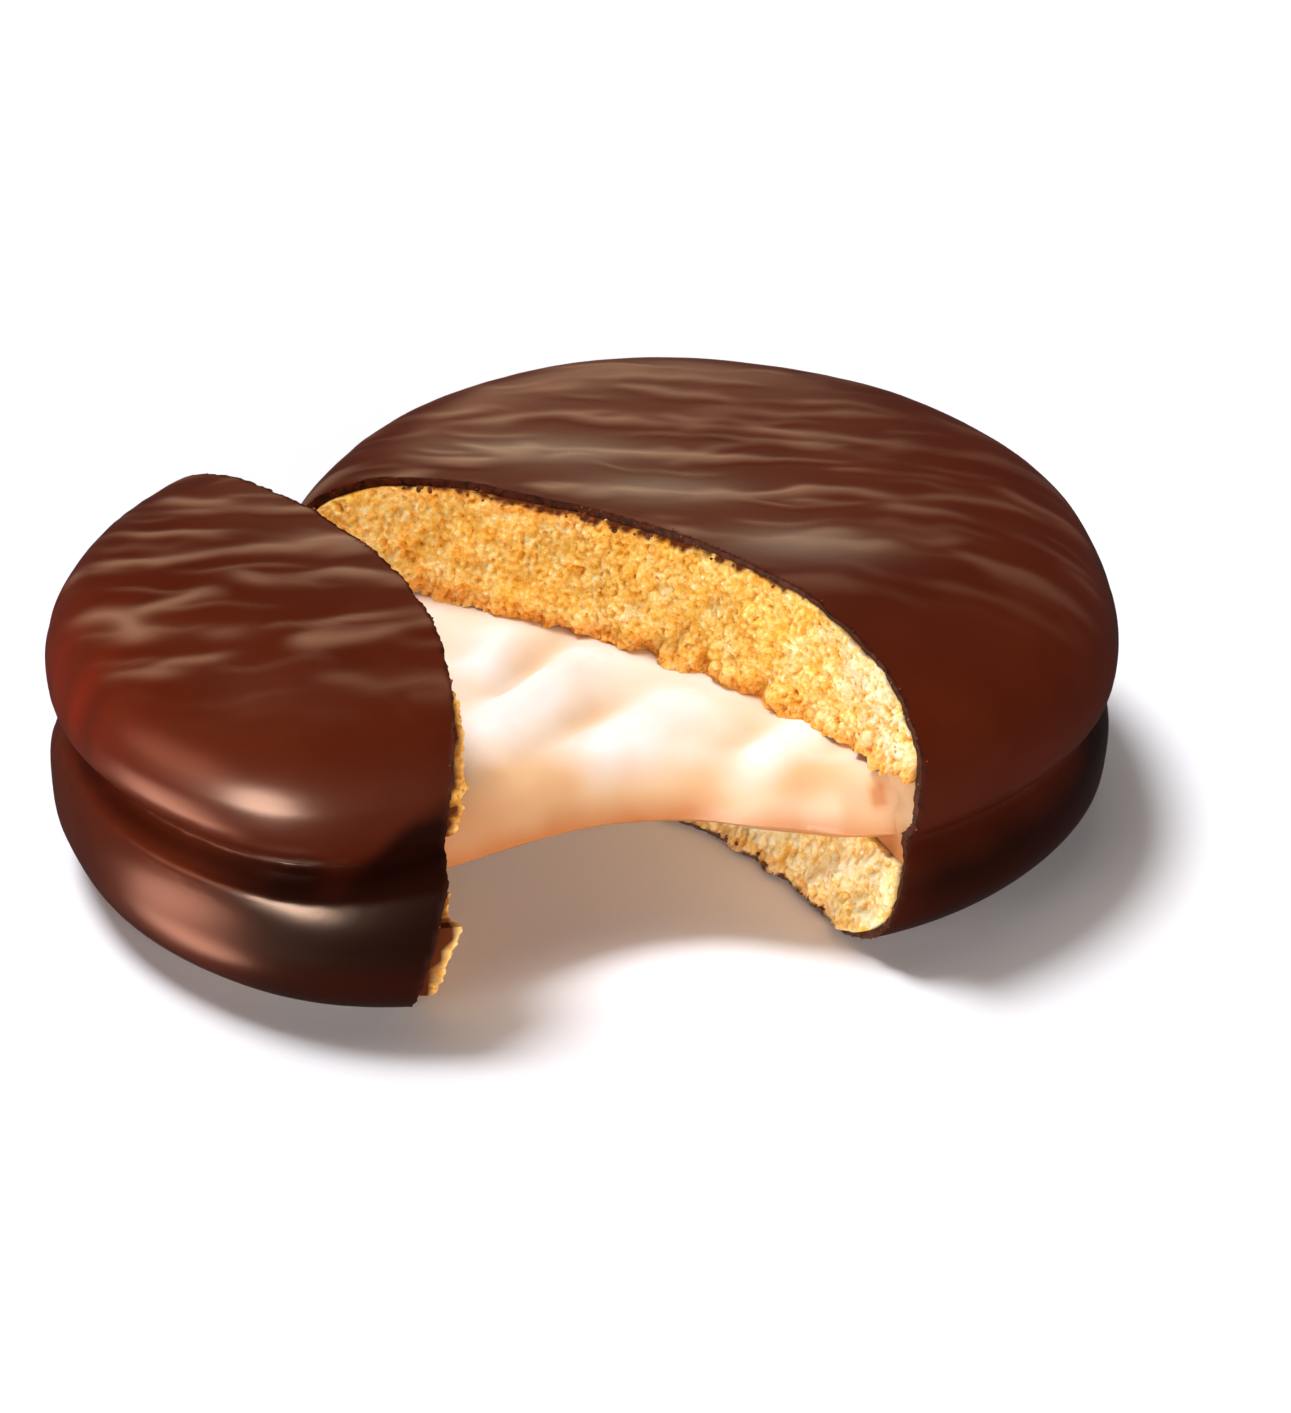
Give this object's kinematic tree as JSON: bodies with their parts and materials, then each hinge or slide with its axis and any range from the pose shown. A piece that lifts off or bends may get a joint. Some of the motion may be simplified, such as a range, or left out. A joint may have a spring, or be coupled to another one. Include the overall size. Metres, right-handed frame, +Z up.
{
  "type": "chocolate marshmallow pie",
  "caption": "Round chocolate-coated sponge pie torn into a large and a small part, still joined by the stretched marshmallow filling between its cakes.",
  "frame": {"origin": "middle of the bounding box's bottom, on the surface that the pie rests on", "axes": "+Z up, +Y away from the picture's viewer, +X to the viewer's right, so the small part is at -X"},
  "size_m": [0.0824, 0.0766, 0.0259],
  "materials": {
    "chocolate": "satin",
    "sponge": "matte, porous",
    "marshmallow": "smooth, slightly glossy"
  },
  "bodies": {
    "root": {"coating_large": "chocolate", "upper_cake_large": "sponge", "lower_cake_large": "sponge", "marshmallow": "marshmallow", "coating_small": "chocolate", "upper_cake_small": "sponge", "lower_cake_small": "sponge"}
  },
  "joints": []
}
